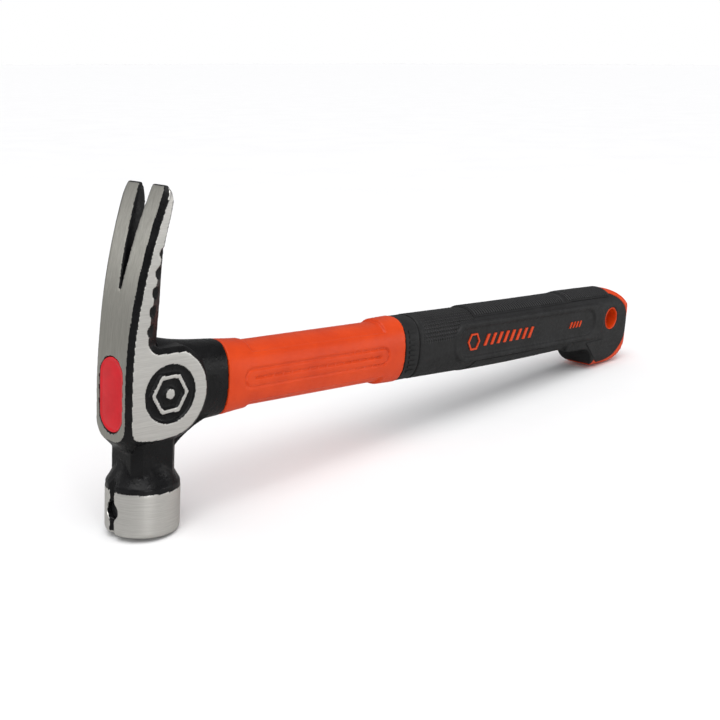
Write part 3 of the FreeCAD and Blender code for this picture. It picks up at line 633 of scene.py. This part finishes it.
# %% Head: mark the ground faces
OUTER_FACE, OUTER_ARC = -15.05, 217.0
OUTER_HALF, CLAW_FLARE, CLAW_ROOT = 9.4, 0.0455, 20.0
EDGE_BEVEL, BEVEL_GROWTH = 2.0, 0.0133
BELL_RADIUS, BELL_TOP, FACE_CHAMFER, CLAW_TIP = 14.5, -38.4, -55.2, 77.6
OUTER_LOW, CHEEK_LOW, TIP_LENGTH = -24.0, -20.0, 5.0  # where the grindings end along the head
SQUARE_ON, SIDEWAYS, TIP_SIDEWAYS = 0.96, 0.94, 0.7  # least share of the normal that faces a grinding


def mark_ground(piece):
    """Writes the masks of the outer face, the cheeks and the bell into one attribute."""
    place, facing = place_numbers(piece), normal_numbers(piece)
    x, y, z = place.T
    above = np.maximum(z - CLAW_ROOT, 0.0)
    half = OUTER_HALF + CLAW_FLARE * above
    side = half + EDGE_BEVEL + BEVEL_GROWTH * above
    rise = OUTER_ARC - np.sqrt(OUTER_ARC ** 2 - np.maximum(z, 0.0) ** 2)
    slope = np.maximum(z, 0.0) / OUTER_ARC
    outward = -facing[:, 0] * np.sqrt(1.0 - slope ** 2) + facing[:, 2] * slope
    sideways = np.abs(facing[:, 1])
    outer = ((x < OUTER_FACE + rise + 0.5) & (np.abs(y) < half + 0.2)
             & (outward > SQUARE_ON) & (z > OUTER_LOW))
    cheek = (np.abs(y) > side - 0.3) & (sideways > SIDEWAYS) & (z > CHEEK_LOW)
    tip = ((z > CLAW_TIP - TIP_LENGTH) & (np.abs(y) > 11.0) & (sideways > TIP_SIDEWAYS)
           & (x > OUTER_FACE + rise + 1.2))
    cheek = cheek | tip
    radius = np.hypot(x, y)
    bell = (radius > BELL_RADIUS - 0.5) & (z < BELL_TOP + 0.05) | (z < FACE_CHAMFER)
    masks = np.stack([outer & ~bell, cheek & ~bell & ~outer, bell, np.ones_like(bell)], axis=1)
    layer = piece.data.attributes.new("ground", "FLOAT_COLOR", "POINT")
    layer.data.foreach_set("color", masks.astype(np.float32).ravel())
    return masks[:, :3].mean(axis=0)


print("share of outer, cheek and bell points:", mark_ground(head).round(3))
finish_piece(head, head_finish, "head_steel", "hammer_head")

# %% [markdown]
# ## Eye plug
# The outer end of the eye is closed with cast resin. It is a short slug with round ends, made from
# a cylinder whose upper half is pulled up and lower half pulled down. Its face is inset in steps:
# a small lip at the edge, a shallow valley behind it, and a middle that rises to a low dome.

# %% Plug
PLUG_HALF_WIDTH, PLUG_HALF_HEIGHT, EYE_Z = 7.30 * MM, 14.46 * MM, -0.6 * MM
PLUG_FRONT, PLUG_BACK = -14.6 * MM, -11.0 * MM


def select_faces(piece, chosen):
    """Selects the faces for which chosen(centre, normal) holds. Edit mode is left and entered."""
    bpy.ops.object.mode_set(mode="EDIT")
    bpy.ops.mesh.select_all(action="DESELECT")
    bpy.ops.mesh.select_mode(type="FACE")
    bpy.ops.object.mode_set(mode="OBJECT")
    for face in piece.data.polygons:
        face.select = bool(chosen(face.center, face.normal))
    bpy.ops.object.mode_set(mode="EDIT")


def select_points(piece, chosen):
    """Selects the points for which chosen(place) holds, and stays in edit mode."""
    bpy.ops.object.mode_set(mode="EDIT")
    bpy.ops.mesh.select_all(action="DESELECT")
    bpy.ops.mesh.select_mode(type="VERT")
    bpy.ops.object.mode_set(mode="OBJECT")
    for point in piece.data.vertices:
        point.select = bool(chosen(point.co))
    bpy.ops.object.mode_set(mode="EDIT")


def make_plug():
    bpy.ops.object.select_all(action="DESELECT")
    bpy.ops.mesh.primitive_cylinder_add(vertices=64, radius=PLUG_HALF_WIDTH, depth=PLUG_BACK - PLUG_FRONT,
                                        location=((PLUG_FRONT + PLUG_BACK) / 2, 0, EYE_Z),
                                        rotation=(0, math.pi / 2, math.radians(360 / 128)))
    plug = bpy.context.object
    plug.name = "eye_plug_resin"
    bpy.ops.object.transform_apply(location=True, rotation=True, scale=True)
    straight = PLUG_HALF_HEIGHT - PLUG_HALF_WIDTH
    for side in (1, -1):
        select_points(plug, lambda place: (place.z - EYE_Z) * side > 0)
        bpy.ops.transform.translate(value=(0, 0, side * straight))
        bpy.ops.object.mode_set(mode="OBJECT")
    select_faces(plug, lambda centre, normal: normal.x < -0.9)
    bpy.ops.mesh.inset(thickness=0.5 * MM)
    bpy.ops.transform.translate(value=(-0.25 * MM, 0, 0))
    for step, sink in ((0.7, 0.25), (1.2, -0.12), (1.8, -0.12), (1.4, -0.05)):
        bpy.ops.mesh.inset(thickness=step * MM)
        bpy.ops.transform.translate(value=(sink * MM, 0, 0))
    bpy.ops.object.mode_set(mode="OBJECT")
    apply_modifier(plug, "BEVEL", width=0.25 * MM, segments=3, limit_method="ANGLE",
                   angle_limit=math.radians(40))
    apply_modifier(plug, "SUBSURF", levels=2, render_levels=2)
    only(plug)
    bpy.ops.object.shade_smooth()
    lay_on_floor(plug)
    return plug


finish_piece(make_plug(), resin_finish, "plug_resin", "eye_plug")

# %% [markdown]
# ## Orange jacket
# One moulding shows in three places: as the sleeve behind the head, as the rim round the butt and
# as the lining of the hang hole. The rest of it is under the grip. The sleeve and the rim are cut
# from a copy of the CAD jacket and remeshed, so that grooves and ribs get their moulded radii.

# %% Jacket: sleeve and rim
def moulded_part(node, name, x_mm, keep, voxel_mm, passes):
    """One end of a CAD moulding, cut at x_mm, remeshed and smoothed so that its edges are round."""
    piece = copy_of_node(node, name)
    trim(piece, x_mm, keep)
    apply_modifier(piece, "REMESH", mode="VOXEL", voxel_size=voxel_mm * MM, adaptivity=0.0,
                   use_smooth_shade=True)
    apply_modifier(piece, "SMOOTH", factor=0.5, iterations=passes)
    return piece


sleeve = moulded_part("handle_jacket", "jacket_sleeve", 142.0, "head", 0.45, 4)
finish_piece(sleeve, orange_finish, "orange_plastic", "handle_jacket")
rim = moulded_part("handle_jacket", "jacket_rim", 303.0, "butt", 0.40, 3)
finish_piece(rim, orange_finish, "orange_plastic", "handle_jacket")

# %% [markdown]
# ## Grip
# The grip is a thick rubber skin. It is cut into two copies in the groove behind its front band:
# the band is remeshed finely, so that the groove stays crisp, and the long body more coarsely.
# The body's inner side is never seen, so most of the points there are given up again with a
# Decimate modifier that works only inside.

# %% Grip: band and body
band = moulded_part("grip_sleeve", "grip_band", 149.5, "head", 0.28, 2)
grip = moulded_part("grip_sleeve", "grip_body", 149.0, "butt", 0.54, 2)


GRIP_HALF_WIDTH, GRIP_HALF_HEIGHT, ROUNDNESS = 11.9, 15.6, 2.45  # the grip's full oval
INNER_SHARE, HOLLOW_END = 0.72, 316.0  # how far out, and how far back, nothing can be seen


def thin_inside(piece, ratio):
    """Gives up points on the grip's hidden inner wall."""
    x, y, z = place_numbers(piece).T
    oval = np.abs(y / GRIP_HALF_WIDTH) ** ROUNDNESS + np.abs(z / GRIP_HALF_HEIGHT) ** ROUNDNESS
    inside = (oval < INNER_SHARE) & (x < HOLLOW_END)
    group = piece.vertex_groups.new(name="inside")
    group.add([int(i) for i in np.nonzero(inside)[0]], 1.0, "REPLACE")
    apply_modifier(piece, "DECIMATE", decimate_type="COLLAPSE", ratio=ratio, vertex_group="inside",
                   vertex_group_factor=1000.0)
    return inside.mean()


print("share of inner points:", round(thin_inside(grip, 0.55), 3))


PANEL_ROUND_X, PANEL_HALF = 185.3, 10.3  # the round front end of the raised side panel
CREST_HALF_HEIGHT, MEAN_RADIUS, AROUND_UNIT = 16.2, 14.2, 100.0
DIAMOND_START, DIAMOND_END = 151.0, 196.0


def mark_diamonds(piece):
    """Says where the diamonds are pressed, and how far round the grip each point is."""
    x, y, z = place_numbers(piece).T
    angle = np.arctan2(y / GRIP_HALF_WIDTH, z / CREST_HALF_HEIGHT)
    around = (angle * MEAN_RADIUS / AROUND_UNIT) % 1.0
    near_band = np.clip((x - DIAMOND_START) / 3.0, 0, 1) * np.clip((DIAMOND_END - x) / 4.0, 0, 1)
    upper = np.clip((z - 2.5) / 3.0, 0, 1)
    under = np.clip((-z - 12.0) / 3.0, 0, 1)
    from_panel = np.hypot(np.minimum(x - PANEL_ROUND_X, 0.0), z) - PANEL_HALF
    amount = near_band * np.maximum(upper, under) * np.clip(from_panel - 0.3, 0, 1)
    colours = np.stack([amount, around, np.zeros_like(x), np.ones_like(x)], axis=1)
    layer = piece.data.attributes.new("diamonds", "FLOAT_COLOR", "POINT")
    layer.data.foreach_set("color", colours.astype(np.float32).ravel())


mark_diamonds(grip)
finish_piece(band, rubber_finish, "grip_rubber", "grip_sleeve")
finish_piece(grip, rubber_finish, "grip_rubber", "grip_sleeve")

# %% [markdown]
# ## Raised pads, ribs and bars
# The hand feels raised pads on the grip's back and belly and on the hook, with fine cross ribs on
# the back, and a row of small bars on the front band. Each one starts as a flat grid beside the
# grip, is cut to its outline by bisecting, is projected onto the grip with Shrinkwrap, and is then
# given its height with Solidify. So it follows the grip's curve without being drawn on it. A rib
# is made once and repeated with Array before it is laid down.

# %% Helpers for raised details
SINK = 0.2  # how far a raised detail goes down into the grip


def flat_sheet(name, centre, size, cuts, turn=0.0):
    """A flat grid in the tool's axes, in millimetres, turned about X so that it faces outwards."""
    bpy.ops.object.select_all(action="DESELECT")
    bpy.ops.mesh.primitive_grid_add(x_subdivisions=cuts[0], y_subdivisions=cuts[1], size=MM,
                                    location=[c * MM for c in centre], rotation=(turn, 0, 0))
    sheet = bpy.context.object
    sheet.name = sheet.data.name = name
    sheet.scale = (size[0], size[1], 1.0)
    bpy.ops.object.transform_apply(location=True, rotation=True, scale=True)
    return sheet


def cut_sheet(sheet, place, towards):
    """Cuts a sheet along a plane through a place, and keeps the side that towards points to."""
    only(sheet)
    bpy.ops.object.mode_set(mode="EDIT")
    bpy.ops.mesh.select_all(action="SELECT")
    bpy.ops.mesh.bisect(plane_co=[p * MM for p in place], plane_no=towards, clear_inner=True)
    bpy.ops.object.mode_set(mode="OBJECT")


def point_the_front(sheet, front_x):
    """Cuts the front end of a sheet to a wide V that points at the head."""
    for side in (1, -1):
        cut_sheet(sheet, (front_x, 0, 0), (1, -V_SLOPE * side, 0))


def raise_on_grip(sheet, axis, height_mm, target=grip):
    """Lays a sheet on the grip along one of the tool's axes and gives it its height."""
    sheet.matrix_basis = tool_to_floor
    bpy.context.view_layer.update()
    apply_modifier(sheet, "SHRINKWRAP", target=target, wrap_method="PROJECT",
                   use_project_y=axis == "Y", use_project_z=axis == "Z",
                   use_negative_direction=True, use_positive_direction=True)
    apply_modifier(sheet, "SOLIDIFY", thickness=(height_mm + SINK) * MM,
                   offset=(height_mm - SINK) / (height_mm + SINK), use_even_offset=True)
    sheet.data.transform(sheet.matrix_basis)
    sheet.matrix_basis = Matrix.Identity(4)


# %% Pads on the back and the belly
V_SLOPE = 0.8  # how far the belly pad's front runs back for each millimetre to the side
BACK_Z, BACK_HALF_WIDTH = 24.0, 8.9
BELLY_Z, BELLY_HALF_WIDTH = -24.0, 10.2
PAD_HEIGHT, STEP_HEIGHT, RIB_HEIGHT = 0.32, 0.22, 0.45


def make_pad(name, front_x, back_x, half_width, height, level, turn):
    length = back_x - front_x
    pad = flat_sheet(name, ((front_x + back_x) / 2, 0, level), (length, 2 * half_width),
                     (int(length / 1.5), 20), turn)
    if level < 0:
        point_the_front(pad, front_x)
    raise_on_grip(pad, "Z", height)
    apply_modifier(pad, "BEVEL", width=0.12 * MM, segments=2, limit_method="ANGLE",
                   angle_limit=math.radians(50))
    only(pad)
    bpy.ops.object.shade_smooth_by_angle(angle=math.radians(35))
    finish_piece(pad, rubber_finish, "grip_rubber", "grip_sleeve")


make_pad("back_pad_front", 192.0, 281.0, BACK_HALF_WIDTH, PAD_HEIGHT, BACK_Z, 0.0)
make_pad("back_pad_rear", 278.0, 324.5, BACK_HALF_WIDTH, PAD_HEIGHT + STEP_HEIGHT, BACK_Z, 0.0)
make_pad("belly_pad", 187.0, 294.0, BELLY_HALF_WIDTH, PAD_HEIGHT, BELLY_Z, math.pi)

# %% Cross ribs on the back
RIB_TOP_HIGHLIGHT = 0.7  # how much lighter the top of a rib is painted: a painted highlight
RIB_PITCH, RIB_WIDTH, RIB_HALF_LENGTH = 2.0, 0.85, 8.3


def make_ribs(name, front_x, back_x, height):
    rib = flat_sheet(name, (front_x, 0, BACK_Z), (RIB_WIDTH, 2 * RIB_HALF_LENGTH), (1, 14))
    apply_modifier(rib, "ARRAY", count=int((back_x - front_x) / RIB_PITCH), use_relative_offset=False,
                   use_constant_offset=True, constant_offset_displace=(RIB_PITCH * MM, 0, 0))
    raise_on_grip(rib, "Z", height)
    # the whole rib is painted lighter through the attribute's blue: a painted highlight on the rib tops
    crests = rib.data.attributes.new("diamonds", "FLOAT_COLOR", "POINT")
    crests.data.foreach_set("color", [0.0, 0.0, RIB_TOP_HIGHLIGHT, 1.0] * len(rib.data.vertices))
    finish_piece(rib, rubber_finish, "grip_rubber", "grip_sleeve")


make_ribs("back_ribs_front", 194.0, 277.0, PAD_HEIGHT + RIB_HEIGHT)
make_ribs("back_ribs_rear", 280.0, 324.0, PAD_HEIGHT + STEP_HEIGHT + RIB_HEIGHT)

# %% Pads on the hook
def make_hook_pads():
    pad = flat_sheet("hook_pads", (309.0, -16.0, -18.5), (30.0, 20.0), (40, 26), math.pi / 2)
    # place on the cut, direction that is kept, both in side view
    cuts = [((310, -12.0), (0.05, -1)), ((319.2, -14), (-1, -1)), ((320, -18), (-1, 0.08)),
            ((312, -22.6), (0, 1)), ((304.2, -17.5), (0.69, 0.73))]
    for (x, z), (towards_x, towards_z) in cuts:
        cut_sheet(pad, (x, 0, z), (towards_x, 0, towards_z))
    apply_modifier(pad, "MIRROR", use_axis=(False, True, False), use_mirror_merge=False)
    raise_on_grip(pad, "Y", 0.35)
    apply_modifier(pad, "BEVEL", width=0.12 * MM, segments=2, limit_method="ANGLE",
                   angle_limit=math.radians(50))
    finish_piece(pad, rubber_finish, "grip_rubber", "grip_sleeve")


make_hook_pads()

# %% Bars on the front band
def make_band_bars():
    bar = flat_sheet("band_bars", (143.4, -16.0, -9.6), (4.6, 1.2), (3, 1), math.pi / 2)
    apply_modifier(bar, "ARRAY", count=9, use_relative_offset=False, use_constant_offset=True,
                   constant_offset_displace=(0, 0, 2.4 * MM))
    apply_modifier(bar, "MIRROR", use_axis=(False, True, False), use_mirror_merge=False)
    raise_on_grip(bar, "Y", 0.35, band)
    finish_piece(bar, rubber_finish, "grip_rubber", "grip_sleeve")


make_band_bars()

# %% [markdown]
# ## CAD nodes that stay
# The panel marks are plain prisms in the orange of the jacket, and their shape is right. The core,
# the bond and the magnet are hidden or nearly so. They keep their CAD meshes and get new finishes.

# %% Finish the CAD nodes
for node, finish in (("panel_marks_left", orange_finish), ("panel_marks_right", orange_finish),
                     ("handle_core", fibre_finish), ("eye_bond", bond_finish),
                     ("starter_magnet", magnet_finish)):
    frame["nodes"][node].data.materials.clear()
    frame["nodes"][node].data.materials.append(finish)
    print(f"{node}: finish {finish.name}")
